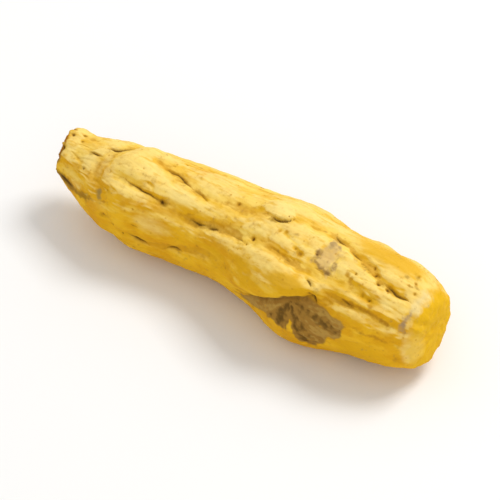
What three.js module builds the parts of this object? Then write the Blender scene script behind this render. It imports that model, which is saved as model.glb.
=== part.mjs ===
// A dried turmeric root: one finger of the rhizome, lying on a flat surface. Millimetres, +Z up.
// It runs along X, from the narrow neck where it broke off its parent at -X to its blunt end at +X.
// The swollen last joint, with the branch scar under its lip, faces -Y. The origin is on the
// surface, under the middle of the root's box.
//
// A place on the skin is given by x and by an angle round the root, in degrees: 0 is the top,
// 90 the front (-Y), 180 the underside and -90 the back.

import * as THREE from "three";
import { ImprovedNoise } from "three/addons/math/ImprovedNoise.js";
import { mergeVertices } from "three/addons/utils/BufferGeometryUtils.js";

const { degToRad, euclideanModulo, smoothstep } = THREE.MathUtils;

// The outline, as half-widths from the neck's broken end to the blunt end.
const OUTLINE = [
  [-25.2, 0],
  [-25.15, 1.5],
  [-24.7, 2.4],
  [-23.6, 2.9],
  [-21.6, 3.35],
  [-19.6, 4.1],
  [-17.4, 4.95],
  [-14.5, 5.6],
  [-10, 5.85],
  [-6.5, 5.9],
  [-2.5, 5.65],
  [1, 5.75],
  [5, 6.2],
  [9, 6.35],
  [14, 6.2],
  [18.5, 6.15],
  [21.5, 5.6],
  [23.4, 5.0],
  [24.5, 4.1],
  [24.9, 2.6],
  [24.95, 0],
];

// The line through the middle of the root: x, y and height over the surface.
const MIDDLE = [
  [-25.2, -0.3, 7.0],
  [-20, -0.7, 6.4],
  [-16, -0.65, 6.0],
  [-9.6, 0.3, 5.6],
  [-2, 1.0, 5.8],
  [4, 0.6, 6.2],
  [10, -0.2, 6.4],
  [16, -0.2, 6.25],
  [20, 0.05, 6.35],
  [24.95, 0.1, 6.25],
];

// Long valleys between the ridges that dried proud, as points of x and angle, with the depth and
// half-width of each. The first five are on the side seen from above the front, the rest go
// round the back and the underside.
const VALLEYS = [
  {
    depth: 0.34,
    width: 0.75,
    path: [
      [-13.5, -4], [-11, 1], [-8, 8], [-5, 18], [-1, 16], [3, 8],
      [8, -12], [12, -12], [16, 2], [20, 17], [23.5, 19],
    ],
  },
  {
    depth: 0.4,
    width: 0.8,
    path: [
      [-16, 26], [-14.5, 33], [-12, 37], [-9, 42], [-5.3, 50], [-1.5, 47],
      [2.5, 46], [7, 39], [11, 44], [17, 53], [23.5, 61],
    ],
  },
  { depth: 0.3, width: 0.75, path: [[-15, 96], [-12, 101], [-9, 99], [-5, 86], [-1, 80]] },
  { depth: 0.28, width: 0.8, path: [[9.5, 24], [14, 30], [18, 38], [23, 40]] },
  { depth: 0.32, width: 0.8, path: [[14, 112], [18, 100], [23.5, 96]] },
  { depth: 0.36, width: 0.9, path: [[-16.5, -42], [-8, -34], [0, -44], [6, -38], [13, -48], [23, -34]] },
  { depth: 0.42, width: 0.9, path: [[-15, -80], [-6, -72], [2, -84], [8, -80]] },
  { depth: 0.34, width: 0.85, path: [[6, -108], [13, -112], [20, -98], [24, -84]] },
  { depth: 0.4, width: 0.9, path: [[-16, -122], [-8, -128], [0, -118], [5, -122]] },
  { depth: 0.34, width: 0.9, path: [[-14, 148], [-4, 142], [4, 152], [12, 146], [22, 140]] },
  { depth: 0.3, width: 0.85, path: [[-15, -168], [-6, -160], [6, -170], [14, -158], [23, -152]] },
];
const VALLEY_END = 1.5;

// The lip: the front flank of the body ends in a rounded prow that stands over the branch scar.
// Its free edge runs from the front of the root up to the prow's tip.
const LIP = { foot: [1.1, 104], tip: [12.3, 61], top: 45, height: 0.5, edge: 0.6, rounding: 0.5 };
const LIP_RISE = [-9, 4];

// The hollow of the scar below the lip: how deep, how far it reaches out, and the shares of the
// lip's length over which it comes in and dies out.
const BRANCH_SCAR = { depth: 0.7, start: 0.6, reach: 3.4, comesIn: [-0.1, 0.3], diesOut: [1.05, 1.45] };

// Swellings of the flesh: where, how high, and the half-lengths along and round the root.
const SWELLINGS = [
  { x: 9, angle: 122, height: 1.65, along: 5.1, round: 6.5 },
  { x: 6, angle: -48, height: 0.55, along: 3.6, round: 4.5 },
  { x: -13.2, angle: 30, height: 0.35, along: 2.6, round: 7 },
  { x: 19.5, angle: -12, height: 0.3, along: 4, round: 4 },
  { x: -3, angle: -98, height: 0.5, along: 4.5, round: 4 },
  { x: 1, angle: 122, height: 0.35, along: 4.5, round: 3 },
  { x: -21, angle: -25, height: 0.25, along: 2.6, round: 3 },
];

// Round marks: scars of buds and broken side shoots, each a hollow inside a low rim.
const ROUND_SCARS = [
  { x: 12.3, angle: 12, radius: 1.7, hollow: 0.32, rim: 0.1 },
  { x: -4.5, angle: -104, radius: 2.5, hollow: 0.7, rim: 0.32 },
  { x: 17.5, angle: 168, radius: 1.5, hollow: 0.35, rim: 0.15 },
  { x: -13, angle: -150, radius: 1.3, hollow: 0.35, rim: 0.12 },
];
const SCAR_RIM_WIDTH = 0.8;

// A dormant bud on the back, and a raised flake of skin on the top.
const BUD = { x: 14.5, angle: -80, radius: 2.3, height: 1.1 };
const FLAKE = { x: 4, angle: -4, along: 2, round: 1.25, height: 0.28, edge: [0.8, 1.15] };

// The grooves that ring the joints, as points of angle and x.
const JOINT_GROOVES = [
  {
    depth: 0.4,
    width: 0.8,
    path: [
      [-180, -15.2], [-90, -15.5], [-22, -16.1], [0, -16.9], [20, -18],
      [38, -18.4], [50, -17.8], [65, -15.9], [95, -15], [180, -15.2],
    ],
  },
  { depth: 0.22, width: 0.7, path: [[-180, 23.2], [-60, 23.8], [0, 24], [60, 23.6], [180, 23.2]] },
];

// The dished face where the neck broke off.
const NECK_BREAK = { radius: 1.9, hollow: 0.75 };

// Unevenness all over: broad lumps, and narrow creases that follow the length.
const LUMPS = { height: 0.45, along: 8, round: 0.9, seed: 5.3 };
const CREASES = { height: 0.3, along: 9, round: 3.4, seed: 31.7, cap: 0.45, mean: 0.2 };

// Near the two tips the relief dies out between these half-widths.
const TIP_FADE = [1.2, 3.6];
const LEAST_RADIUS = 3;
const BODY_RADIUS = 6;

// Facets round the root and from end to end.
const AROUND = 62;
const ALONG = 74;
const OUTLINE_DIVISIONS = 2000;
const SKIN_COLOUR = "#dfae3a";

const noise = new ImprovedNoise();

// The angle from one place to another by the shorter way, in degrees.
function turn(from, to) {
  return euclideanModulo(to - from + 180, 360) - 180;
}

// The height of a soft round hill at a distance from its top.
function bell(distance, width) {
  return Math.exp(-((distance / width) ** 2));
}

// The value at x of a smooth curve through points whose first number is x.
function curveAt(points, x, column = 1) {
  const last = points.length - 1;
  if (x <= points[0][0]) return points[0][column];
  if (x >= points[last][0]) return points[last][column];
  const i = points.findIndex((p) => p[0] > x) - 1;
  const slope = (a, b) => (points[b][column] - points[a][column]) / (points[b][0] - points[a][0]);
  const step = points[i + 1][0] - points[i][0];
  const t = (x - points[i][0]) / step;
  const leave = slope(Math.max(i - 1, 0), i + 1) * step;
  const arrive = slope(i, Math.min(i + 2, last)) * step;
  const [a, b] = [points[i][column], points[i + 1][column]];
  return (
    (2 * t ** 3 - 3 * t ** 2 + 1) * a +
    (t ** 3 - 2 * t ** 2 + t) * leave +
    (3 * t ** 2 - 2 * t ** 3) * b +
    (t ** 3 - t ** 2) * arrive
  );
}

// One long valley, which fades out at each end.
function valley({ path, depth, width }, x, angle, radius) {
  const [start, end] = [path[0][0], path[path.length - 1][0]];
  const comesIn = smoothstep(x, start - VALLEY_END, start + VALLEY_END);
  const diesOut = 1 - smoothstep(x, end - VALLEY_END, end + VALLEY_END);
  const away = degToRad(turn(curveAt(path, x), angle)) * radius;
  return -depth * comesIn * diesOut * bell(away, width);
}

// The lip's prow, and the hollow of the branch scar that it stands over.
function lipAndScar(x, angle, radius) {
  const around = (a) => degToRad(turn(0, a)) * radius;
  const foot = new THREE.Vector2(LIP.foot[0], around(LIP.foot[1]));
  const run = new THREE.Vector2(LIP.tip[0], around(LIP.tip[1])).sub(foot);
  const from = new THREE.Vector2(x, around(angle)).sub(foot);
  const beyond = (from.y * run.x - from.x * run.y) / run.length();
  const share = from.dot(run) / run.lengthSq();
  const above = around(LIP.top) - around(angle);
  const both = Math.exp(beyond / LIP.rounding) + Math.exp(above / LIP.rounding);
  const outside = LIP.rounding * Math.log(both);
  const prow = LIP.height * smoothstep(-outside, -LIP.edge, LIP.edge) * smoothstep(x, ...LIP_RISE);
  const comesIn = smoothstep(share, ...BRANCH_SCAR.comesIn);
  const diesOut = 1 - smoothstep(share, ...BRANCH_SCAR.diesOut);
  const fromEdge = bell(Math.max(0, beyond - BRANCH_SCAR.start), BRANCH_SCAR.reach);
  const below = smoothstep(beyond, -LIP.edge, LIP.edge);
  return prow - BRANCH_SCAR.depth * below * fromEdge * comesIn * diesOut;
}

// How far a place is from a mark, over the skin, along the root and round it.
function awayFrom(mark, x, angle, radius) {
  return [x - mark.x, degToRad(turn(mark.angle, angle)) * radius];
}

function roundScar(scar, x, angle, radius) {
  const distance = Math.hypot(...awayFrom(scar, x, angle, radius));
  const hollow = scar.hollow * (1 - smoothstep(distance, 0.2, scar.radius));
  return scar.rim * bell(distance - scar.radius, SCAR_RIM_WIDTH) - hollow;
}

function swelling(hill, x, angle, radius) {
  const [along, round] = awayFrom(hill, x, angle, radius);
  return hill.height * bell(along, hill.along) * bell(round, hill.round);
}

function jointGroove({ path, depth, width }, x, angle) {
  return -depth * bell(x - curveAt(path, turn(0, angle)), width);
}

function budAndFlake(x, angle, radius) {
  const fromBud = Math.hypot(...awayFrom(BUD, x, angle, radius));
  const [along, round] = awayFrom(FLAKE, x, angle, radius);
  const fromFlake = Math.hypot(along / FLAKE.along, round / FLAKE.round);
  return BUD.height * bell(fromBud, BUD.radius) + FLAKE.height * (1 - smoothstep(fromFlake, ...FLAKE.edge));
}

function unevenness(x, angle, radius) {
  const share = radius / BODY_RADIUS;
  const [up, out] = [share * Math.cos(degToRad(angle)), share * Math.sin(degToRad(angle))];
  const field = ({ along, round, seed }) => noise.noise(x / along + seed, up * round + seed, out * round);
  const fold = Math.min(Math.abs(field(CREASES)), CREASES.cap) - CREASES.mean;
  return LUMPS.height * field(LUMPS) + CREASES.height * fold;
}

// Everything that stands proud of the plain outline or is sunk into it, in millimetres.
function relief(x, angle, radius) {
  const sum = (list, height) => list.reduce((total, item) => total + height(item, x, angle, radius), 0);
  return (
    unevenness(x, angle, radius) +
    sum(SWELLINGS, swelling) +
    sum(VALLEYS, valley) +
    sum(ROUND_SCARS, roundScar) +
    sum(JOINT_GROOVES, jointGroove) +
    lipAndScar(x, angle, radius) +
    budAndFlake(x, angle, radius)
  );
}

// The root's skin: a sphere's grid drawn out along the outline, with the relief raised from it
// and the underside cut level with the surface.
function rhizomeGeometry() {
  const geometry = new THREE.SphereGeometry(1, AROUND, ALONG);
  const outline = new THREE.SplineCurve(OUTLINE.map((p) => new THREE.Vector2(...p)));
  outline.arcLengthDivisions = OUTLINE_DIVISIONS;
  const { position, uv } = geometry.attributes;
  for (let i = 0; i < position.count; i++) {
    const angle = 360 * uv.getX(i) + 180;
    const plain = outline.getPointAt(uv.getY(i));
    const along = outline.getTangentAt(uv.getY(i));
    const onSide = smoothstep(plain.y, ...TIP_FADE);
    const raised = onSide * relief(plain.x, angle, Math.max(plain.y, LEAST_RADIUS));
    const dished = plain.x < 0 ? NECK_BREAK.hollow * bell(plain.y, NECK_BREAK.radius) : 0;
    const x = plain.x - along.y * raised + dished;
    const radius = plain.y + along.x * raised;
    const y = curveAt(MIDDLE, plain.x, 1) - radius * Math.sin(degToRad(angle));
    const z = curveAt(MIDDLE, plain.x, 2) + radius * Math.cos(degToRad(angle));
    position.setXYZ(i, x, y, Math.max(0, z));
  }
  geometry.deleteAttribute("normal");
  geometry.deleteAttribute("uv");
  const closed = mergeVertices(geometry);
  closed.computeBoundingBox();
  const centre = closed.boundingBox.getCenter(new THREE.Vector3());
  closed.translate(-centre.x, -centre.y, 0);
  closed.computeVertexNormals();
  return closed;
}

const skin = new THREE.MeshStandardMaterial({ color: SKIN_COLOUR, roughness: 0.85, metalness: 0 });
const rhizome = new THREE.Mesh(rhizomeGeometry(), skin);
rhizome.name = "rhizome";

const root = new THREE.Group();
root.add(rhizome);

export default root;
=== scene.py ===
# A dried turmeric root, dressed on its CAD frame. One finer skin of the same shape stands for the
# root's solid: its creases, cracks, pits and scars are in the mesh, and its colours are procedural.
# Lengths are in millimetres in the values and on the skin, and in metres in Blender.
#
# A place on the skin is given by x and by an angle round the root, in degrees: 0 is the top,
# 90 the front (-Y), 180 the underside and -90 the back. A tone is a value that each point of the
# skin carries for the material, such as how dark a crack is there.

import math
from types import SimpleNamespace

import bmesh
import bpy
import numpy as np
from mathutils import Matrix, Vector, noise
from mathutils.bvhtree import BVHTree


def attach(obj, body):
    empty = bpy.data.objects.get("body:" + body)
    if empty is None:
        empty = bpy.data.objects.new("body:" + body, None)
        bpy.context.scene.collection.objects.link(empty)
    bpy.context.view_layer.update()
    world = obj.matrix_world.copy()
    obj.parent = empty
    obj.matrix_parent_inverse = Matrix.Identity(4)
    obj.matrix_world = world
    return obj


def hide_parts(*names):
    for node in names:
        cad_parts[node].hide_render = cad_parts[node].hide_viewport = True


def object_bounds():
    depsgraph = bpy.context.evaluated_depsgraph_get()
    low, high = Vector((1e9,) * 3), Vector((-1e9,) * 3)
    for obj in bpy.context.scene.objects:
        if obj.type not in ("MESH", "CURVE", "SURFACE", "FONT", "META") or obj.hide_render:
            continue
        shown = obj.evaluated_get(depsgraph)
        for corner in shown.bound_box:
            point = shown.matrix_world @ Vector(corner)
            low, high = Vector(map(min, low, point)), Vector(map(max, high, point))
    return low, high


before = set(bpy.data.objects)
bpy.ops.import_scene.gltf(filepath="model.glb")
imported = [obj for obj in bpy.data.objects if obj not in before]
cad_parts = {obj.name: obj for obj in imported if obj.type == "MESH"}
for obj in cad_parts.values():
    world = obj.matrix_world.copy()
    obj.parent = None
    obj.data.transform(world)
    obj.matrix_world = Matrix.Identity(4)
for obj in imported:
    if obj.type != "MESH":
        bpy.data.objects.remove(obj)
cad_box = [list(map(float, corner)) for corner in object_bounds()]

MM = 0.001

# The line through the middle of the root, from the neck to the blunt end: x, y and height.
MIDDLE = np.array([
    (-25.34, -0.15, 7.0), (-20.14, -0.55, 6.4), (-16.14, -0.5, 6.0), (-9.74, 0.45, 5.6),
    (-2.14, 1.15, 5.8), (3.86, 0.75, 6.2), (9.86, -0.05, 6.4), (15.86, -0.05, 6.25),
    (19.86, 0.2, 6.35), (24.81, 0.25, 6.25),
])

# The fine skin: facets round the root and from end to end, about 0.12 by 0.19 mm each. At the two
# ends its rows turn in from a straight body to the tips, over these lengths of skin.
AROUND = 330
ALONG = 290
NECK_CENTRE, NECK_TURN = -22.6, 4.6
END_CENTRE, END_TURN = 20.0, 8.2

# Rounds of smoothing: to lose the solid's facets, to tell the small hollows and the large ones from
# the even skin, and to spread the darkness of the cracks, painted shadows included, round them. Then
# how much each kind of hollow counts.
FACET_SMOOTHING = 45
SMALL_SMOOTHING = 30
LARGE_SMOOTHING = 260
HALO_SMOOTHING = 16
SMALL_WEIGHT, LARGE_WEIGHT = 6, 3.5

# A path on the skin is walked in steps of this length, with its angles taken at this radius. Near
# the tips no angle is taken at less than the second one.
PATH_STEP = 0.5
BODY_RADIUS = 6
LEAST_RADIUS = 2.5

# How far to each side of its path a mark is worked out: an outline's, a band's and the lip's.
OUTLINE_REACH, BAND_REACH, LIP_REACH = 3.5, 2, 1.4

# The face of each end begins this far along from the origin.
TIP_X = 24.3

# How far each point's place is shaken, so that no mark has a clean edge, and in grains of what size.
SHAKE, SHAKE_GRAIN = 0.16, 1.2

# The skin's own texture, from its dents to its fibres: height, the size of the grains along and
# round the root, the seed of the pattern and its octaves. Both ends are rougher than the body.
TEXTURE = [(0.09, 4.5, 1.1, 1, 3), (0.045, 0.9, 0.65, 2, 3), (0.028, 2.4, 0.3, 5, 2)]
END_ROUGHNESS, END_GRAIN = 0.2, 1.3

# Hairlines run where a pattern of folds is within this of 0, and are this deep.
HAIRLINE_WIDTH, HAIRLINE_DEPTH = 0.06, 0.08

# The face where the neck broke off: its x, its radius and its core's, and how far it is sunk.
NECK_FACE_X = -24.9
BREAK_RADIUS, CORE_RADIUS = 2.8, 1.3
BREAK_DEPTH, BREAK_ROUGHNESS = 0.22, 0.16

# Cracks that opened as the root dried: half-width, depth, darkness from 0 to 1, and the places
# that each runs through. These are on the side that shows.
CRACKS = [
    # The first runs along the neck's lower side: a crack, with painted shade in its darkness.
    (0.34, 0.18, 0.85, [(-24.4, 108), (-23.4, 98), (-22.2, 93), (-20.8, 90)]),
    (0.16, 0.24, 0.9, [(-18.8, 0), (-18.1, 1), (-17.4, -1), (-16.9, -9), (-16.3, -23)]),
    (0.12, 0.14, 0.75, [(-20.7, 17), (-19.8, 17), (-18.8, 16)]),
    (0.14, 0.22, 0.85, [(-11.2, 0), (-10.3, 2), (-9.0, 5), (-7.8, 10), (-6.9, 13)]),
    (0.1, 0.13, 0.6, [(-6.9, 13), (-5.6, 17), (-4.4, 21)]),
    (0.09, 0.1, 0.5, [(-6.1, 14), (-5.0, 19), (-4.2, 23)]),
    (0.12, 0.16, 0.75, [(-14.5, 33), (-13.3, 35), (-12.1, 38), (-11.0, 39), (-9.9, 41), (-9.2, 42)]),
    (0.13, 0.17, 0.75, [(-5.4, 50), (-4.5, 50), (-3.4, 50)]),
    (0.13, 0.17, 0.75, [(-3.1, 51), (-2.4, 50), (-1.5, 47)]),
    (0.1, 0.1, 0.5, [(-0.5, 45), (1.0, 47), (2.0, 48), (2.8, 46)]),
    (0.14, 0.2, 0.85, [(-12.6, 98), (-12.0, 99), (-11.0, 102), (-9.8, 105)]),
    (0.1, 0.1, 0.6, [(-12.0, 78), (-11.4, 80), (-10.7, 81)]),
    (0.14, 0.17, 0.75, [(-7.8, 100), (-7.1, 94), (-6.4, 93), (-5.6, 94)]),
    # This one runs along the flake's lower right edge: a crack, with the flake's shadow painted in its
    # darkness.
    (0.15, 0.2, 0.85, [(3.4, 8), (4.3, 9.5), (5.1, 8), (5.7, 3), (5.9, -3)]),
    (0.08, 0.08, 0.5, [(5.2, 36), (6.8, 38), (8.3, 40), (9.7, 43)]),
    (0.08, 0.07, 0.45, [(6.8, 46), (8.1, 42)]),
    (0.13, 0.16, 0.75, [(10.6, -17), (11.7, -13), (12.9, -10)]),
    (0.12, 0.15, 0.7, [(13.5, -6), (14.4, -4), (15.7, 2)]),
    (0.17, 0.25, 0.85, [(19.6, 17), (20.3, 18), (21.2, 20), (22.0, 20), (22.8, 19)]),
    (0.13, 0.15, 0.65, [(15.6, 50), (16.7, 52), (17.6, 53)]),
    (0.15, 0.22, 0.85, [(11.3, 46), (12.0, 49), (12.4, 52)]),
    (0.17, 0.26, 0.9, [(12.5, 58), (12.8, 62), (13.3, 66)]),
]

# Wider hollows that the skin sank into: half-width, depth, and the places each runs through. One
# less than 0 deep is a ridge. The first rings the neck where it joins the body, and the last two
# are the lip's thick edge and the groove round the blunt end.
HOLLOWS = [
    (0.8, 0.09, [(-15.8, -32), (-16.6, -14), (-17.4, 6), (-18.2, 22), (-18.4, 36), (-17.6, 50)]),
    (0.6, 0.16, [(-13.0, -4), (-11.2, 0), (-9.0, 5), (-7.0, 12), (-4.4, 20)]),
    (0.5, 0.14, [(-15.4, 31), (-13.3, 35), (-11.0, 39), (-9.2, 42)]),
    (0.6, 0.18, [(-6.2, 50), (-3.4, 50), (-1.0, 46), (1.5, 46)]),
    (0.6, 0.12, [(3.4, 42), (6.0, 39), (9.0, 42), (11.5, 46)]),
    (0.5, 0.1, [(3.6, 8), (5.6, 15), (8.2, 24), (10.4, 27)]),
    (0.5, 0.24, [(9.6, -22), (11.7, -15), (13.2, -8), (15.7, 1), (17.6, 8), (19.4, 17), (22.4, 20)]),
    (0.55, 0.19, [(13.6, 30), (15.0, 27), (16.6, 33), (18.6, 40), (20.6, 42)]),
    (0.5, 0.22, [(12.4, 52), (14.2, 50), (16.7, 52), (18.8, 53), (20.6, 54), (22.2, 60)]),
    (0.45, 0.12, [(14.4, 15), (16.6, 20), (18.4, 27)]),
    (0.55, 0.14, [(-13.6, 96), (-11.0, 101), (-8.4, 101), (-5.6, 95)]),
    (0.5, 0.14, [(17.0, 74), (19.4, 78), (21.6, 78), (22.8, 84)]),
    (0.4, 0.12, [(5.2, -62), (5.6, -90), (5.2, -130), (4.6, -172)]),
    (0.35, 0.1, [(-9.4, -48), (-9.0, -84), (-9.8, -130)]),
    (0.5, -0.16, [(1.6, 105), (3.6, 99), (5.0, 91), (7.5, 78), (10.0, 65), (11.6, 59)]),
    (0.35, 0.16, [(22.9, 80), (23.1, 60), (23.3, 47), (23.5, 32), (23.6, 22), (23.9, 4), (24.1, -20)]),
]

# Places where the skin stands prouder: x and angle, height, and the half-lengths along and across.
SWELLINGS = [
    (-24.2, -30, 0.45, 1.2, 2.2), (-24.6, 45, 0.35, 1.0, 1.6), (24.1, 178, 0.5, 1.3, 2.6),
    (24.2, 62, 0.15, 0.7, 1.6),
]

# The groove under the lip's free edge: its places, half-width, depth, and the darkness of the lip's
# shadow painted in it.
UNDER_LIP = [(1.6, 112), (3.6, 106), (5.0, 98), (7.5, 85), (10.2, 72), (11.7, 67.5), (12.6, 61)]
UNDER_LIP_WIDTH, UNDER_LIP_DEPTH, UNDER_LIP_SHADOW = 0.26, 0.3, 0.45

# Stains, painted shade and bloom that run in bands: half-width, strength, and the places each runs
# through.
BANDS = {
    "stain_and_shade": [
        # Along the neck's lower side: stain, with painted shade.
        (0.7, 1.3, [(-24.6, 112), (-23.6, 100), (-22.4, 94), (-20.8, 90)]),
        (0.5, 0.9, [(-20.8, 90), (-19.4, 84), (-18.2, 78)]),
        # This band and the three after it lie in the groove round the neck and along valleys: stain,
        # with painted shade.
        (0.5, 0.2, [(-18.5, 20), (-18.8, 33), (-18.4, 47), (-17.2, 60)]),
        (0.45, 0.4, [(-12.8, 23), (-11.6, 22), (-10.8, 26)]),
        (0.4, 0.45, [(-5.8, 50), (-3.6, 52), (-1.6, 48)]),
        (0.4, 0.4, [(14.6, 1), (17.0, 9), (19.2, 18), (22.0, 21)]),
    ],
    "grey": [
        (0.5, 0.8, [(-17.1, 57), (-16.8, 64), (-16.5, 72)]),
        (0.4, 0.5, [(-20.6, 43), (-20.0, 47)]),
    ],
    "lilac": [(0.55, 0.85, [(23.0, 62), (23.2, 49), (23.4, 38), (23.5, 29)])],
    "white": [(0.9, 0.85, [(23.4, 32), (23.5, 15), (23.7, 4), (23.8, -8)])],
    "ochre": [
        # The first two lie along valleys near the blunt end: ochre, with painted shade.
        (0.35, 0.7, [(15.6, 49), (17.5, 51), (18.9, 52), (20.2, 55), (21.4, 57), (22.3, 57)]),
        (0.35, 0.6, [(17.9, 71), (19.0, 76), (20.3, 78), (21.6, 79), (22.6, 77)]),
        (0.5, 0.5, [(22.6, 106), (24.1, 112)]),
    ],
}

# The edges of a loose flake of skin, of the scar of a bud, and of the scar of a branch, whose
# fibres spread from a hub under the lip.
FLAKE = [
    (1.8, 1), (1.9, -9), (2.4, -18), (3.8, -15), (5.0, -11), (5.8, -6), (5.7, 1), (5.4, 5), (4.8, 8),
    (3.6, 7), (2.6, 5),
]
BUD_SCAR = [
    (10.7, 28), (10.6, 17), (10.8, 5), (11.1, -6), (11.8, -12), (12.7, -4), (13.2, 6), (13.4, 15),
    (13.7, 24), (13.5, 33), (12.6, 35), (11.4, 33),
]
BRANCH_SCAR = [
    (2.0, 113), (3.3, 107), (5.1, 96), (7.2, 83), (9.8, 72), (11.5, 66), (12.6, 64), (13.4, 66),
    (14.6, 67), (15.7, 70), (16.9, 72), (17.3, 76), (17.0, 84), (16.6, 98), (15.9, 108), (15.4, 104),
    (14.7, 109), (14.2, 117), (13.2, 123), (12.6, 118), (11.9, 119), (11.3, 112), (11.1, 100),
    (10.7, 95), (10.2, 102), (9.5, 104), (8.6, 103), (7.9, 100), (6.3, 105), (4.4, 114), (3.1, 117),
]
SCAR_HUB = (10.4, 74)

# Which way each dark wedge of a scar runs from its hub, turned from +X towards the underside, and
# how wide it is, in degrees. Then how ragged the far edge of the front's scar and the back's is.
SCAR_WEDGES = [(108, 17), (64, 13), (14, 8)]
FRONT_RAGGED, BACK_RAGGED = 0.4, 0.25

# The scar of a branch on the back, in a round hollow of the solid.
BACK_SCAR = [
    (-6.3, -104), (-5.9, -92), (-4.9, -86), (-3.6, -87), (-2.7, -95), (-2.5, -105), (-3.0, -116),
    (-4.1, -122), (-5.4, -118),
]
BACK_HUB = (-4.5, -103)

# Pits: place, radius, depth and darkness.
PITS = [
    (-9.2, 42, 0.3, 0.3, 1.0), (3.1, 39, 0.24, 0.22, 0.9), (2.6, 47, 0.16, 0.14, 0.6),
    (9.1, 28, 0.36, 0.22, 0.5), (8.3, 25, 0.25, 0.14, 0.4), (5.5, 18, 0.3, 0.1, 0.3),
    (6.2, 15, 0.26, 0.1, 0.3), (10.9, 19, 0.2, 0.16, 0.8), (17.3, 3, 0.22, 0.18, 0.6),
    (18.0, 11, 0.28, 0.22, 0.75), (18.9, 19, 0.3, 0.25, 0.85), (20.0, 20.5, 0.26, 0.22, 0.85),
    (21.6, -16, 0.26, 0.1, 0.45), (22.2, -4, 0.26, 0.1, 0.5), (21.6, 4, 0.24, 0.09, 0.4),
    (22.6, 9, 0.26, 0.1, 0.45), (18.7, 38, 0.3, 0.1, 0.2), (19.3, 46, 0.3, 0.1, 0.2),
    (18.8, 40, 0.3, 0.24, 0.65), (18.0, 37, 0.32, 0.15, 0.4), (15.1, 24, 0.4, 0.12, 0.15),
    (15.8, 26, 0.34, 0.1, 0.15), (0.9, 81, 0.22, 0.06, 0.4), (-12.0, 61, 0.2, 0.05, 0.35),
    (-3.7, 77, 0.24, 0.05, 0.4), (-15.8, 87, 0.3, 0.1, 0.5), (-24.0, -3, 0.3, 0.2, 0.8),
    (-24.2, 35, 0.34, 0.25, 0.9), (-24.5, 62, 0.6, 0.4, 1.0), (-24.4, 48, 0.4, 0.2, 0.8),
    (-22.4, 3, 0.22, 0.1, 0.6),
]

# What a seeded draw adds, mostly on the hidden side: how many, between which angles, of what
# lengths, and for the cracks how strong.
SEED = 11
HIDDEN_SIDE, SHOWN_SIDE = (118, 300), (-60, 112)
STRAY_HOLLOWS = (16, (125, 290), (5, 12))
STRAY_CRACKS = [(60, HIDDEN_SIDE, (1.2, 5), 1.0), (24, SHOWN_SIDE, (0.8, 2.2), 0.3)]
STRAY_PITS = [(60, HIDDEN_SIDE), (24, SHOWN_SIDE)]

# The x that they start between, the x that none runs past, how many points a path has and how many
# degrees it strays in a millimetre. Then their half-widths or radii, depths and darkness.
PATH_STARTS, PIT_SPAN = (-23, 21), (-24, 24)
LAST_X = 23.6
PATH_POINTS = 4
WANDER = 2.2
HOLLOW_WIDTHS, HOLLOW_DEPTHS = (0.4, 0.75), (0.1, 0.26)
CRACK_WIDTHS, CRACK_DEPTHS, CRACK_SHADES = (0.08, 0.15), (0.07, 0.2), (0.35, 0.85)
PIT_RADII, PIT_DEPTHS, PIT_SHADES = (0.13, 0.28), (0.05, 0.16), (0.3, 0.8)

# Round patches: place, the half-lengths along and across the root, and strength.
PATCHES = {
    "bare": [
        (17.8, -22, 5.0, 2.2, 1.3), (24.4, 0, 1.2, 4.0, 1.0), (19.5, 112, 4.5, 2.4, 0.9),
        (0.0, 80, 5.0, 1.6, 0.6), (-9.0, 70, 4.0, 1.6, 0.4), (-14.0, 100, 4.0, 2.0, 0.5),
        (5.4, 78, 3.5, 1.2, 0.9), (17.4, 62, 3.0, 0.8, 0.35), (15.2, 40, 2.4, 0.7, 0.5),
        (11.8, 36, 1.6, 1.0, 0.5), (-15.6, 52, 1.0, 1.0, 0.5), (3.4, 64, 3.0, 1.0, 0.8),
        (14.5, -42, 4.0, 2.0, 0.8), (9.6, 58, 2.6, 1.2, 1.35), (18.8, 40, 1.8, 0.6, 0.9),
        (1.5, 5, 0.8, 0.6, 0.7), (2.4, 55, 1.8, 0.6, 0.4),
    ],
    "cream": [
        (3.9, -5, 1.8, 1.2, 0.9), (24.5, 88, 1.2, 2.5, 0.95), (24.1, 64, 0.8, 1.3, 0.8),
        (20.7, 37, 2.0, 0.5, 0.8), (14.6, 14, 1.6, 0.6, 0.5), (17.0, 44, 1.6, 0.5, 0.5),
        (-7.4, 28, 2.4, 1.2, 0.7), (-19.8, 32, 1.6, 1.6, 0.7), (-12.4, 12, 2.0, 1.2, 0.6),
        (9.8, 78, 2.4, 0.6, 0.4), (20.2, -10, 1.6, 0.8, 0.5), (-9.6, 71, 3.0, 1.3, 0.65),
        (-20.4, 78, 1.8, 0.8, 0.5), (-17.0, 80, 2.2, 1.0, 0.5), (-17.9, 24, 0.8, 2.0, 0.65),
    ],
    "stain_and_shade": [
        (-24.4, 62, 0.7, 1.0, 1.0), (-24.5, 20, 0.5, 0.8, 0.5), (-20.2, 17, 0.7, 0.4, 0.5),
        # The second patch on the next line, just under the flake's lower edge, is the flake's painted
        # shadow.
        (-15.6, 88, 0.8, 0.5, 0.5), (3.9, 11, 0.9, 0.4, 0.6), (-9.0, 43, 0.6, 0.4, 0.6),
        (12.9, 55, 0.5, 0.6, 0.5), (8.8, 30, 0.7, 0.5, 0.35), (-13.6, 72, 0.6, 0.4, 0.3),
        (20.8, -4, 0.45, 0.35, 0.55), (21.7, -13, 0.5, 0.4, 0.55), (21.8, 4, 0.45, 0.35, 0.55),
        (22.5, 1, 0.5, 0.45, 0.5),
    ],
    "grey": [
        (1.3, 52, 1.4, 0.4, 0.3), (17.0, 150, 2.6, 2.0, 0.5), (-6.0, -140, 3.0, 1.6, 0.4),
        (10.0, -120, 2.0, 1.2, 0.4),
    ],
}
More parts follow.
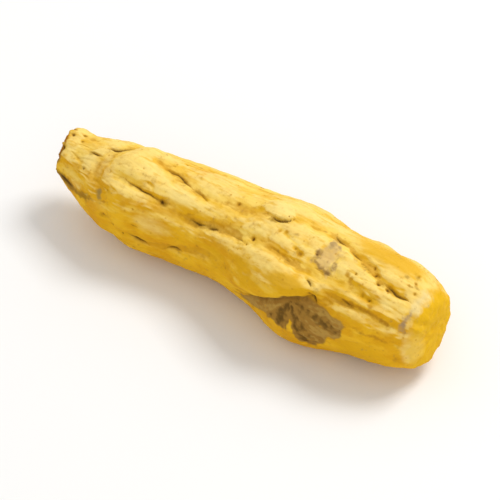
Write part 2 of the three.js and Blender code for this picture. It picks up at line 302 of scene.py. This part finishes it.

# Colours of the skin, from the dusted ridges to the bottoms of the cracks. Some also carry painted
# light and shade, as the layers say.
PALE_DUST = "#f7d46c"
YELLOW = "#efbe2a"
CREAM = "#f9dc86"
GOLD = "#e9b21a"
BARE_GOLD = "#dfa914"
DEEP_GOLD = "#dca012"
RICH_GOLD = "#dda80e"
OCHRE = "#c68d19"
BROWN_OCHRE = "#b07a16"
OLIVE = "#936c17"
GREY_BLOOM = "#9c8247"
LILAC = "#a58a68"
WHITISH = "#efd690"
BUD_PINK = "#dab674"
BUD_GREY = "#a08355"
BUD_BROWN = "#8c6836"
SCAR_BROWN = "#9d7330"
SCAR_PALE = "#be994a"
SCAR_DARK = "#573e12"
CRACK_BROWN = "#50340c"
END_YELLOW = "#e6b61a"
BREAK_ORANGE = "#b06e12"
BREAK_CORE = "#d08f1e"
FLOOR_WHITE = "#f1f0ee"

# The skin's patterns: whether the grain is drawn out along the root, its size and its detail.
PATTERNS = {
    "clouds": (False, 3.2, 3.0),
    "patches": (True, 1.5, 4.0),
    "mottle": (False, 0.7, 3.0),
    "streaks": (True, 0.8, 3.0),
    "fibre": (True, 0.35, 3.0),
    "powder": (False, 0.16, 2.0),
}
GRAIN_DRAWN_OUT = (0.3, 1.0, 1.0)
PATTERN_ROUGHNESS = 0.55

# The skin's layers, each over the one before it, on DEEP_GOLD: name, tone, pattern, how much of the
# pattern is added to the tone, the sums at which the layer starts and is full, strength and colour.
LAYERS = [
    ("worn gold", None, "clouds", 1.0, (0.38, 0.62), 1.0, GOLD),
    ("yellow patches", None, "patches", 1.0, (0.46, 0.62), 0.75, YELLOW),
    # Pale where the skin faces up: dust, with painted top light.
    ("dust on top", "dust", "patches", 1.6, (1.22, 2.05), 0.9, PALE_DUST),
    # Cream on the ridges that face up: dust bloom, with a painted highlight.
    ("dusted ridges", "ridge", "streaks", 1.1, (1.12, 1.6), 0.6, CREAM),
    ("rich gold streaks", None, "streaks", 1.0, (0.55, 0.7), 0.5, RICH_GOLD),
    # Ochre in the hollows: bare skin, with painted shade.
    ("bare hollows", "hollow", "mottle", 0.6, (0.92, 1.4), 0.7, OCHRE),
    ("ochre pits", "pit", "mottle", 0.5, (0.4, 1.1), 0.8, OCHRE),
    ("ochre mottles", None, "mottle", 1.0, (0.46, 0.8), 0.3, OCHRE),
    ("cream patches", "cream", "patches", 1.0, (0.7, 1.5), 0.75, CREAM),
    ("bare gold", "bare", "streaks", 1.6, (0.85, 1.75), 0.85, BARE_GOLD),
    # Yellow on the blunt end's face where it turns to +X, towards the lamps: painted light on the
    # end's yellow.
    ("blunt end", "end", "patches", 1.0, (0.6, 1.5), 0.6, END_YELLOW),
    # Ochre streaks, two of them along valleys with painted shade.
    ("ochre streaks", "ochre", "mottle", 1.0, (0.75, 1.35), 0.85, BROWN_OCHRE),
    # Olive stains, with painted shade along valleys, round the neck, under the neck and under the
    # flake.
    ("stains_and_shade", "stain_and_shade", "mottle", 1.0, (0.66, 1.35), 0.8, OLIVE),
    ("grey bloom", "grey", "mottle", 0.8, (0.6, 1.25), 0.85, GREY_BLOOM),
    ("white band", "white", "mottle", 1.0, (0.7, 1.4), 0.85, WHITISH),
    ("lilac band", "lilac", "mottle", 1.2, (0.9, 1.65), 0.9, LILAC),
    ("bud scar", "bud", "mottle", 1.4, (0.85, 1.85), 0.85, BUD_PINK),
    ("bud scar's bloom", "bud grey", "mottle", 1.4, (0.9, 1.85), 0.75, BUD_GREY),
    ("bud scar's edge", "bud edge", "mottle", 1.4, (0.85, 1.8), 0.9, BUD_BROWN),
    ("scar", "scar", "mottle", 0.6, (0.35, 1.1), 0.95, SCAR_BROWN),
    ("scar's rays", "rays", "mottle", 1.4, (0.85, 1.9), 0.85, SCAR_DARK),
    ("scar's fibres", "fibres", "mottle", 1.4, (0.9, 1.8), 0.65, SCAR_PALE),
    ("broken neck", "break", "mottle", 1.0, (0.7, 1.4), 0.9, BREAK_ORANGE),
    ("broken neck's core", "core", "mottle", 1.2, (0.9, 1.9), 0.6, BREAK_CORE),
    ("fine lines", None, "fibre", 1.0, (0.62, 0.74), 0.25, OCHRE),
    # Olive spread round the cracks and painted shadows: stain, and softened painted shadow.
    ("round the cracks", "halo", "mottle", 0.3, (0.15, 0.65), 0.6, OLIVE),
    # Dark brown in the cracks and pits, and the painted shadows under the lip's edge and the flake's.
    ("cracks", "crack_and_shadow", "powder", 0.3, (0.3, 1.0), 0.88, CRACK_BROWN),
]

# The specks' spacing, the distances at which one starts and is full, as shares of the spacing, and
# its strength. Then the finest relief, how rough worn skin and dust are, and how much they reflect.
SPECK_SPACING, SPECK_EDGE, SPECK_STRENGTH = 1.3, (0.13, 0.06), 0.55
BUMP_HEIGHT, BUMP_STRENGTH = 0.09, 0.6
WORN_ROUGHNESS, DUST_ROUGHNESS = 0.68, 0.88
SPECULAR = 0.1

# The camera looks from this azimuth and height at a point in the root, and sees this width there.
AZIMUTH = 35.5
ELEVATION = 44.0
LENS, SENSOR = 300, 36
FRAME_WIDTH = 55.6
TARGET = (0.7, -0.38, 5.72)

# The studio, in metres and watts: the floor's half-width, the even daylight, and the soft lights'
# places, widths and powers.
FLOOR_HALF = 3
DAYLIGHT = 0.66
LIGHTS = {"key": ((0.13, 0.27, 0.45), 0.22, 1.7), "fill": ((0.25, -0.4, 0.35), 0.4, 0.35)}


def linear(code):
    """An sRGB hex colour as linear red, green, blue and alpha."""
    channels = [int(code[i:i + 2], 16) / 255 for i in (1, 3, 5)]
    return [c / 12.92 if c <= 0.04045 else ((c + 0.055) / 1.055) ** 2.4 for c in channels] + [1.0]


def add(tree, kind, label, inputs=None, **settings):
    """Adds one node with its settings, and fills or links its inputs."""
    node = tree.nodes.new(kind)
    node.label = label
    for name, value in settings.items():
        setattr(node, name, value)
    for socket, value in (inputs or {}).items():
        if isinstance(value, bpy.types.NodeSocket):
            tree.links.new(value, node.inputs[socket])
        else:
            node.inputs[socket].default_value = value
    return node


def turned(angle):
    """An angle in degrees, brought to the range from -180 to 180."""
    return (angle + 180) % 360 - 180


def rise(value, low, high):
    """A smooth step from 0 at low to 1 at high."""
    t = np.clip((value - low) / (high - low), 0, 1)
    return t * t * (3 - 2 * t)


def middle(x):
    """The y and the height of the middle line at x."""
    return np.interp(x, MIDDLE[:, 0], MIDDLE[:, 1]), np.interp(x, MIDDLE[:, 0], MIDDLE[:, 2])


def grain(points, size, seed, octaves=3):
    """Fractal noise between about -1 and 1, with grains of this size along X, Y and Z."""
    shift = Vector((7.3, 3.9, 5.1)) * seed
    spots = points / np.array(size)
    return np.array([noise.fractal(Vector(p) + shift, 1.0, 2.0, octaves) for p in spots])


def ray_towards(share, angle):
    """Where a ray to the skin starts and which way it goes, for a share of the way from the neck's
    tip to the blunt end's and an angle round the root."""
    body = END_CENTRE - NECK_CENTRE
    way = share * (NECK_TURN + body + END_TURN)
    if way < NECK_TURN:
        x, tilt = NECK_CENTRE, 90 * way / NECK_TURN
    elif way > NECK_TURN + body:
        x, tilt = END_CENTRE, 90 + 90 * (way - NECK_TURN - body) / END_TURN
    else:
        x, tilt = NECK_CENTRE + way - NECK_TURN, 90
    y, z = middle(x)
    out = math.sin(math.radians(tilt))
    direction = (
        -math.cos(math.radians(tilt)),
        -out * math.sin(math.radians(angle)),
        out * math.cos(math.radians(angle)),
    )
    return Vector((x, y, z)) * MM, Vector(direction)


def skin_over(solid):
    """A fine closed mesh laid on the solid."""
    bm = bmesh.new()
    bm.from_mesh(solid.data)
    target = BVHTree.FromBMesh(bm)
    bm.free()
    bm = bmesh.new()
    bmesh.ops.create_uvsphere(bm, u_segments=AROUND, v_segments=ALONG, radius=1.0)
    for vert in bm.verts:
        share = math.acos(max(-1.0, min(1.0, vert.co.z))) / math.pi
        angle = math.degrees(math.atan2(vert.co.y, vert.co.x))
        vert.co = target.ray_cast(*ray_towards(share, angle))[0]
    bmesh.ops.recalc_face_normals(bm, faces=bm.faces)
    mesh = bpy.data.meshes.new("turmeric_root")
    bm.to_mesh(mesh)
    bm.free()
    return mesh


def numbers_of(mesh):
    """The mesh's points in millimetres, its normals, and the pairs of points its edges join."""
    points = np.zeros(len(mesh.vertices) * 3)
    mesh.vertices.foreach_get("co", points)
    normals = np.zeros(len(mesh.vertices) * 3)
    mesh.vertices.foreach_get("normal", normals)
    edges = np.zeros(len(mesh.edges) * 2, int)
    mesh.edges.foreach_get("vertices", edges)
    return points.reshape(-1, 3) / MM, normals.reshape(-1, 3), edges.reshape(-1, 2)


def evened(values, edges, rounds):
    """Values on the points, each drawn halfway to the mean of its neighbours over and over."""
    ends = np.concatenate([edges, edges[:, ::-1]])
    count = np.bincount(ends[:, 0], minlength=len(values))
    for _ in range(rounds):
        columns = [np.bincount(ends[:, 0], column[ends[:, 1]], len(values)) for column in values.T]
        values = (values + np.stack(columns, 1) / count[:, None]) / 2
    return values


def spot(skin, x, angle):
    """The point of the skin at a place."""
    away = np.hypot(skin.x - x, np.radians(turned(skin.angle - angle)) * skin.radius)
    return skin.spots[np.argmin(away)]


def from_place(skin, x, angle):
    """How far each point is from a place, along the root and across it."""
    off = skin.spots - spot(skin, x, angle)
    return off[:, 0], np.hypot(off[:, 1], off[:, 2])


def from_path(skin, path, reach):
    """The points within reach of a path, how far each is from it, and its share of the way."""
    line = []
    for (x0, a0), (x1, a1) in zip(path, path[1:]):
        steps = math.ceil(math.hypot(x1 - x0, math.radians(a1 - a0) * BODY_RADIUS) / PATH_STEP)
        for i in range(steps):
            line.append(spot(skin, x0 + (x1 - x0) * i / steps, a0 + (a1 - a0) * i / steps))
    line = np.array(line + [spot(skin, *path[-1])])
    line[1:-1] = (line[:-2] + 2 * line[1:-1] + line[2:]) / 4
    boxed = (skin.spots > line.min(0) - reach) & (skin.spots < line.max(0) + reach)
    near = np.flatnonzero(boxed.all(1))
    least, way = np.full(len(near), np.inf), np.zeros(len(near))
    for i, (start, end) in enumerate(zip(line, line[1:])):
        off, run = skin.spots[near] - start, end - start
        share = np.clip(off @ run / max(run @ run, 1e-9), 0, 1)
        away = np.linalg.norm(off - share[:, None] * run, axis=1)
        closer = away < least
        least[closer] = away[closer]
        way[closer] = (i + share[closer]) / (len(line) - 1)
    kept = least < reach
    return near[kept], least[kept], way[kept]


def inside(skin, outline):
    """The points near an outline, and how deep inside it each is, less than 0 outside it."""
    near, away, _ = from_path(skin, outline + outline[:1], OUTLINE_REACH)
    within = np.zeros(len(near), bool)
    for (x0, a0), (x1, a1) in zip(outline, outline[1:] + outline[:1]):
        start, end = turned(a0 - skin.angle[near]), turned(a1 - skin.angle[near])
        crossing = x0 + (x1 - x0) * start / np.where(start == end, 1, start - end)
        within ^= ((start > 0) != (end > 0)) & (skin.x[near] < crossing)
    return near, np.where(within, away, -away)


def blank(skin):
    """A tone or a relief of 0 at every point."""
    return np.zeros(len(skin.x))


def darken(tones, near, shade):
    """Makes the tone of the cracks and of the painted shadows at least this dark."""
    tones["crack_and_shadow"][near] = np.maximum(tones["crack_and_shadow"][near], shade)


def stray_paths(draw, count, angles, lengths):
    """Paths scattered over a range of angles, each running roughly along the root."""
    paths = []
    for _ in range(count):
        x, angle = draw.uniform(*PATH_STARTS), draw.uniform(*angles)
        step = draw.uniform(*lengths) / (PATH_POINTS - 1)
        turns = np.cumsum(draw.normal(0, WANDER * step, PATH_POINTS))
        paths.append([(min(x + step * i, LAST_X), angle + turn) for i, turn in enumerate(turns)])
    return paths


def stray_pits(draw, count, angles):
    """Pits scattered over a range of angles."""
    ranges = (PIT_SPAN, angles, PIT_RADII, PIT_DEPTHS, PIT_SHADES)
    return [tuple(draw.uniform(*values) for values in ranges) for _ in range(count)]


def branch_scar(skin, tones, outline, hub, ragged):
    """A scar, ragged on its far side, goes into the tones, with its dark rays and pale fibres.
    Returns its relief."""
    near, depth = inside(skin, outline)
    along = skin.x[near] - hub[0]
    down = np.radians(turned(skin.angle[near] - hub[1])) * skin.radius[near]
    reach, bearing = np.hypot(along, down), np.arctan2(down, along)
    around = np.stack([np.cos(bearing) * 4.5, np.sin(bearing) * 4.5, reach * 0.22], 1)
    rays = grain(around, (1, 1, 1), 3, 2)
    threads = grain(around, (0.3, 0.3, 0.6), 4, 2)
    fingers = ragged * (2.2 * rays + 0.5 * threads) * rise(down, 0.6, 3.0)
    mask = rise(depth + fingers, -0.25, 0.45)
    wedges = sum(
        np.exp(-((turned(np.degrees(bearing) - way) / width) ** 2)) for way, width in SCAR_WEDGES
    )
    blotches = grain(skin.points[near], (0.6, 0.6, 0.6), 16, 2)
    shade = 0.45 * rays + 0.75 * (wedges - 0.4) + 0.55 * blotches
    relief = blank(skin)
    relief[near] = -mask * (0.06 + 0.08 * rise(rays, -0.25, 0.4) + 0.05 * (threads + blotches))
    tones["scar"][near] += mask
    tones["rays"][near] += mask * rise(shade + 0.3 * threads + 0.1 * (3.2 - reach), -0.5, 0.85)
    tones["fibres"][near] += mask * rise(0.7 * threads - 0.7 * shade + 0.14 * (reach - 3), -0.1, 0.7)
    return relief


def flake_and_bud_scar(skin, tones):
    """The raised flake, and the sunken bud scar, which goes into the tones. Returns their relief."""
    relief = blank(skin)
    near, depth = inside(skin, FLAKE)
    free = rise(skin.angle[near] + 4 * (skin.x[near] - 4), -4, 6)
    relief[near] += rise(depth, -0.12, 0.2) * (0.08 + 0.12 * free)
    near, depth = inside(skin, BUD_SCAR)
    rough = grain(skin.points[near], (0.9, 0.8, 0.8), 21, 2)
    edge = np.exp(-(((depth - 0.2) / 0.5) ** 2))
    relief[near] += 0.12 * rough * rise(depth, -0.3, 0.4) - 0.07 * edge
    mask = rise(depth + 0.8 * rough, -0.6, 0.9)
    tones["bud"][near] = mask
    tones["bud grey"][near] = mask * rise(0.08 * (6 - skin.angle[near]) + 0.9 * rough, -0.3, 0.9)
    lower = rise(skin.angle[near], 2, 16)
    tones["bud edge"][near] = mask * lower * rise(edge - 0.7 * rough, 0.1, 0.9)
    return relief


def broken_neck(skin, tones):
    """The rough, sunken face where the neck broke off goes into the tones. Returns its relief."""
    rough = grain(skin.points, (0.8, 0.7, 0.7), 7, 3)
    y, z = middle(NECK_FACE_X)
    reach = np.hypot(skin.points[:, 1] - y, skin.points[:, 2] - z)
    face = rise(-skin.points[:, 0], 23.7, 24.2) * rise(BREAK_RADIUS + 0.5 * rough - reach, 0, 0.5)
    tones["break"] = face
    tones["core"] = face * rise(CORE_RADIUS + 0.5 * rough - reach, -0.4, 0.5)
    return face * (BREAK_ROUGHNESS * rough - BREAK_DEPTH)


def texture(skin):
    """The relief of the skin itself, rougher at both ends, with hairlines where it folded."""
    relief = blank(skin)
    for height, along, across, seed, octaves in TEXTURE:
        relief += height * grain(skin.points, (along, across, across), seed, octaves)
    tips = rise(np.abs(skin.x), 23, TIP_X)
    relief += END_ROUGHNESS * tips * grain(skin.points, (END_GRAIN,) * 3, 6, 3)
    fold = grain(skin.points, (5.5, 1.5, 1.5), 8, 2)
    open_here = rise(grain(skin.points, (3.0, 2.2, 2.2), 9, 1), -0.15, 0.35)
    hairline = np.exp(-((fold / HAIRLINE_WIDTH) ** 2)) * open_here
    hairline *= rise(23.5 - np.abs(skin.x), 0, 1)
    near, depth = inside(skin, FLAKE)
    hairline[near] *= rise(-depth, 0.4, 1.2)
    return relief - HAIRLINE_DEPTH * hairline


def hollows_and_swellings(skin, draw):
    """The relief of the wide hollows, the lip's thick edge and the swellings."""
    strays = [
        (draw.uniform(*HOLLOW_WIDTHS), draw.uniform(*HOLLOW_DEPTHS), path)
        for path in stray_paths(draw, *STRAY_HOLLOWS)
    ]
    relief = blank(skin)
    for half_width, depth, path in HOLLOWS + strays:
        near, away, way = from_path(skin, path, 3 * half_width)
        relief[near] -= depth * np.exp(-((away / half_width) ** 2)) * np.sin(math.pi * way) ** 0.4
    for x, angle, height, along, across in SWELLINGS:
        a, b = from_place(skin, x, angle)
        relief += height * np.exp(-((a / along) ** 2) - (b / across) ** 2)
    return relief


def cracks(skin, tones, draw):
    """The cracks, narrowing to their ends, go into the tones. Returns their relief."""
    paths = []
    for count, angles, lengths, share in STRAY_CRACKS:
        paths += [(share, path) for path in stray_paths(draw, count, angles, lengths)]
    strays = []
    for share, path in paths:
        half_width = draw.uniform(*CRACK_WIDTHS)
        depth = share * draw.uniform(*CRACK_DEPTHS)
        strays.append((half_width, depth, share * draw.uniform(*CRACK_SHADES), path))
    relief = blank(skin)
    for half_width, depth, dark, path in CRACKS + strays:
        near, away, way = from_path(skin, path, 4 * half_width)
        opening = np.sin(math.pi * np.clip(way, 0.03, 0.97)) ** 0.45
        groove = np.exp(-((away / (half_width * opening)) ** 2)) * opening
        relief[near] -= depth * groove
        darken(tones, near, dark * groove)
    return relief


def pits(skin, tones, draw):
    """The pits go into the tones. Returns their relief."""
    strays = []
    for count, angles in STRAY_PITS:
        strays += stray_pits(draw, count, angles)
    relief = blank(skin)
    for x, angle, radius, depth, dark in PITS + strays:
        hole = np.exp(-((np.hypot(*from_place(skin, x, angle)) / radius) ** 2))
        relief -= depth * hole
        darken(tones, slice(None), dark * hole ** 1.5)
        tones["pit"] = np.maximum(tones["pit"], hole)
    return relief


def groove_under_lip(skin, tones):
    """The groove under the lip's free edge, with the lip's shadow painted in it, goes into the tones.
    Returns its relief.
    """
    near, away, way = from_path(skin, UNDER_LIP, LIP_REACH)
    under = np.exp(-((away / UNDER_LIP_WIDTH) ** 2)) * rise(way, 0, 0.25)
    # Painted shadow of the lip, as darkness in the groove under its edge.
    darken(tones, near, UNDER_LIP_SHADOW * under)
    relief = blank(skin)
    relief[near] = -UNDER_LIP_DEPTH * under
    return relief


def bands_and_patches(skin, tones):
    """Each band and patch goes into the tone of its name; some of the bands and patches are painted
    shade.
    """
    for name, bands in BANDS.items():
        for half_width, strength, path in bands:
            near, away, way = from_path(skin, path, BAND_REACH)
            fade = rise(np.minimum(way, 1 - way), -0.15, 0.15)
            band = strength * np.exp(-((away / half_width) ** 2)) * fade
            tones[name][near] = np.maximum(tones[name][near], band)
    for name, patches in PATCHES.items():
        for x, angle, along, across, strength in patches:
            a, b = from_place(skin, x, angle)
            patch = np.exp(-((a / along) ** 2 + (b / across) ** 2) ** 1.5) * strength
            tones[name] = np.maximum(tones[name], patch)


def fine_relief(skin, tones):
    """All that is finer than the solid, in millimetres, with the tones that go with it."""
    draw = np.random.default_rng(SEED)
    relief = texture(skin)
    relief += broken_neck(skin, tones)
    relief += hollows_and_swellings(skin, draw)
    relief += cracks(skin, tones, draw)
    relief += pits(skin, tones, draw)
    relief += groove_under_lip(skin, tones)
    bands_and_patches(skin, tones)
    relief += flake_and_bud_scar(skin, tones)
    relief += branch_scar(skin, tones, BRANCH_SCAR, SCAR_HUB, FRONT_RAGGED)
    relief += branch_scar(skin, tones, BACK_SCAR, BACK_HUB, BACK_RAGGED)
    # The darkness of the cracks and painted shadows, spread round them.
    tones["halo"] = evened(tones["crack_and_shadow"][:, None], skin.edges, HALO_SMOOTHING)[:, 0]
    return relief


def smooth_facets(mesh):
    """Draws the mesh even, and gives it back the size that it loses by that."""
    points, _, edges = numbers_of(mesh)
    even = evened(points, edges, FACET_SMOOTHING)
    points = even + evened(points - even, edges, FACET_SMOOTHING)
    mesh.vertices.foreach_set("co", (points * MM).ravel())
    mesh.update()


def skin_of(mesh):
    """The mesh as numbers: its points, and the shaken place of each on the skin."""
    points, normals, edges = numbers_of(mesh)
    waves = [grain(points, (SHAKE_GRAIN,) * 3, seed, 2) for seed in (12, 13, 14)]
    spots = points + SHAKE * np.stack(waves, 1)
    y, z = middle(spots[:, 0])
    out, up = y - spots[:, 1], spots[:, 2] - z
    return SimpleNamespace(
        points=points,
        normals=normals,
        edges=edges,
        spots=spots,
        x=spots[:, 0],
        angle=np.degrees(np.arctan2(out, up)),
        radius=np.maximum(np.hypot(out, up), LEAST_RADIUS),
    )


def tones_of_form(skin, mesh, tones):
    """Hollows, ridges, the upper side and the blunt end's face go into the tones: ochre hollows with
    painted shade, cream ridges with a painted highlight, pale dust with painted top light, and the
    end's face with painted light.
    """
    points, normals, edges = numbers_of(mesh)
    even = evened(points, edges, SMALL_SMOOTHING)
    broad = evened(even, edges, LARGE_SMOOTHING)
    small = ((even - points) * normals).sum(1)
    large = ((broad - even) * normals).sum(1)
    away_from_tips = 1 - rise(np.abs(points[:, 0]), 23.4, TIP_X)
    sunk = SMALL_WEIGHT * small + LARGE_WEIGHT * large
    # Ochre in the hollows, with painted shade.
    tones["hollow"] = np.clip(0.5 + away_from_tips * sunk, 0, 1)
    # Cream on ridges that face up, with a painted highlight.
    tones["ridge"] = (1 - tones["hollow"]) * rise(normals[:, 2], 0.1, 0.8)
    # Pale dust where the skin faces up, with painted top light.
    tones["dust"] = 0.3 + 0.7 * normals[:, 2] * (1 - 0.1 * rise(skin.x, 3, 16))
    # Yellow where the end's face turns to +X, towards the lamps: painted light.
    tones["end"] = rise(skin.x, 23.3, TIP_X) * rise(normals[:, 0], 0.2, 0.9)


def fine_root(solid):
    """The root as it shows: the fine skin, with its relief and the tones that colour it."""
    mesh = skin_over(solid)
    smooth_facets(mesh)
    skin = skin_of(mesh)
    tones = {tone: blank(skin) for _, tone, *_ in LAYERS if tone}
    points = skin.points + skin.normals * fine_relief(skin, tones)[:, None]
    low, high = np.array(cad_box) / MM
    mesh.vertices.foreach_set("co", (np.clip(points, low, high) * MM).ravel())
    mesh.update()
    tones_of_form(skin, mesh, tones)
    for name, values in tones.items():
        layer = mesh.attributes.new(name, "FLOAT", "POINT")
        layer.data.foreach_set("value", values.astype(np.float32))
    mesh.polygons.foreach_set("use_smooth", [True] * len(mesh.polygons))
    root = bpy.data.objects.new("turmeric_root", mesh)
    bpy.context.scene.collection.objects.link(root)
    return root


def skin_patterns(tree, place):
    """The noise patterns, by name."""
    drawn = add(
        tree, "ShaderNodeMapping", "grain drawn out along the root",
        {"Vector": place, "Scale": GRAIN_DRAWN_OUT},
    ).outputs["Vector"]
    return {
        name: add(
            tree, "ShaderNodeTexNoise", f"{name}, {size} mm",
            {
                "Vector": drawn if drawn_out else place,
                "Scale": 1 / (size * MM), "Detail": detail, "Roughness": PATTERN_ROUGHNESS,
            },
        ).outputs["Fac"]
        for name, (drawn_out, size, detail) in PATTERNS.items()
    }


def mixed(tree, label, cover, under, shade):
    """A colour laid over another as far as it covers it."""
    return add(
        tree, "ShaderNodeMix", label, {0: cover, 6: under, 7: linear(shade)}, data_type="RGBA"
    ).outputs[2]


def skin_colour(tree, place, patterns):
    """The layers over one another, and specks over them all."""
    tones = {
        tone: add(tree, "ShaderNodeAttribute", tone, attribute_name=tone).outputs["Fac"]
        for _, tone, *_ in LAYERS if tone
    }
    colour = linear(DEEP_GOLD)
    for label, tone, pattern, ruffle, (low, high), strength, shade in LAYERS:
        ruffled = add(
            tree, "ShaderNodeMath", f"{label}: ruffled",
            {0: patterns[pattern], 1: ruffle, 2: tones[tone] if tone else 0.0},
            operation="MULTIPLY_ADD",
        ).outputs["Value"]
        cover = add(
            tree, "ShaderNodeMapRange", f"{label}: cover",
            {"Value": ruffled, "From Min": low, "From Max": high, "To Max": strength},
            interpolation_type="SMOOTHSTEP",
        ).outputs["Result"]
        colour = mixed(tree, label, cover, colour, shade)
    speck = add(
        tree, "ShaderNodeTexVoronoi", "specks, about 1 mm apart",
        {"Vector": place, "Scale": 1 / (SPECK_SPACING * MM)},
    ).outputs["Distance"]
    start, full = SPECK_EDGE
    cover = add(
        tree, "ShaderNodeMapRange", "specks: cover",
        {"Value": speck, "From Min": start, "From Max": full, "To Max": SPECK_STRENGTH},
    ).outputs["Result"]
    return mixed(tree, "specks", cover, colour, OCHRE)


def skin_bump(tree, patterns):
    """Relief too fine for the mesh: powder on leather, with fibres."""
    height = patterns["mottle"]
    for name, strength in (("powder", 0.35), ("fibre", 0.8)):
        height = add(
            tree, "ShaderNodeMath", f"{name} on the skin",
            {0: patterns[name], 1: strength, 2: height}, operation="MULTIPLY_ADD",
        ).outputs["Value"]
    return add(
        tree, "ShaderNodeBump", "fine relief",
        {"Strength": BUMP_STRENGTH, "Distance": BUMP_HEIGHT * MM, "Height": height},
    ).outputs["Normal"]


def turmeric_skin():
    """Turmeric rhizome that was boiled, sun dried and rubbed: a hard, matt, leathery skin, golden
    where it is worn, dusted with its own pale yellow powder on the ridges, ochre in the hollows. Its
    pale top and ridges also carry painted light, and its hollows, stains and cracks painted shade."""
    material = bpy.data.materials.new("dried_turmeric_skin")
    material.use_nodes = True
    tree = material.node_tree
    tree.nodes.clear()
    place = add(tree, "ShaderNodeTexCoord", "place").outputs["Object"]
    patterns = skin_patterns(tree, place)
    roughness = add(
        tree, "ShaderNodeMapRange", "worn skin is smoother than dust",
        {
            "Value": patterns["patches"], "From Min": 0.35, "From Max": 0.7,
            "To Min": WORN_ROUGHNESS, "To Max": DUST_ROUGHNESS,
        },
    ).outputs["Result"]
    shader = add(
        tree, "ShaderNodeBsdfPrincipled", "skin",
        {
            "Base Color": skin_colour(tree, place, patterns), "Roughness": roughness,
            "Normal": skin_bump(tree, patterns), "Specular IOR Level": SPECULAR,
        },
    )
    output = add(tree, "ShaderNodeOutputMaterial", "output")
    tree.links.new(shader.outputs["BSDF"], output.inputs["Surface"])
    return material


def place_camera():
    """The camera, as far off as puts the frame's width at the root."""
    azimuth, elevation = math.radians(AZIMUTH), math.radians(ELEVATION)
    back = Vector((
        math.sin(azimuth) * math.cos(elevation),
        -math.cos(azimuth) * math.cos(elevation),
        math.sin(elevation),
    ))
    data = bpy.data.cameras.new("camera")
    data.lens, data.sensor_width = LENS, SENSOR
    data.clip_start, data.clip_end = 0.01, 10
    camera = bpy.data.objects.new("camera", data)
    camera.location = (Vector(TARGET) + back * FRAME_WIDTH * LENS / SENSOR) * MM
    camera.rotation_euler = (-back).to_track_quat("-Z", "Y").to_euler()
    bpy.context.scene.collection.objects.link(camera)
    bpy.context.scene.camera = camera


def place_light(name, place, size, power):
    """A square soft light that looks at the root."""
    data = bpy.data.lights.new(name, "AREA")
    data.size, data.energy = size, power
    light = bpy.data.objects.new(name, data)
    light.location = place
    light.rotation_euler = (-Vector(place)).to_track_quat("-Z", "Y").to_euler()
    bpy.context.scene.collection.objects.link(light)


def place_floor():
    """A plain pale floor, wide enough to fill every view."""
    bm = bmesh.new()
    bmesh.ops.create_grid(bm, x_segments=1, y_segments=1, size=FLOOR_HALF)
    mesh = bpy.data.meshes.new("floor")
    bm.to_mesh(mesh)
    bm.free()
    material = bpy.data.materials.new("white_paper")
    material.use_nodes = True
    shader = material.node_tree.nodes["Principled BSDF"]
    shader.inputs["Base Color"].default_value = linear(FLOOR_WHITE)
    shader.inputs["Roughness"].default_value = 0.9
    mesh.materials.append(material)
    floor = bpy.data.objects.new("floor", mesh)
    bpy.context.scene.collection.objects.link(floor)


def light_studio():
    """Even daylight, a soft key from above and a weak fill from the front."""
    world = bpy.data.worlds.new("daylight")
    bpy.context.scene.world = world
    world.use_nodes = True
    world.node_tree.nodes["Background"].inputs["Color"].default_value = (1, 1, 1, 1)
    world.node_tree.nodes["Background"].inputs["Strength"].default_value = DAYLIGHT
    for name, (place, size, power) in LIGHTS.items():
        place_light(name, place, size, power)
    bpy.context.scene.view_settings.view_transform = "Standard"


place_camera()
place_floor()
light_studio()
root = fine_root(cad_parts["rhizome"])
root.data.materials.append(turmeric_skin())
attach(root, "root")
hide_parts("rhizome")
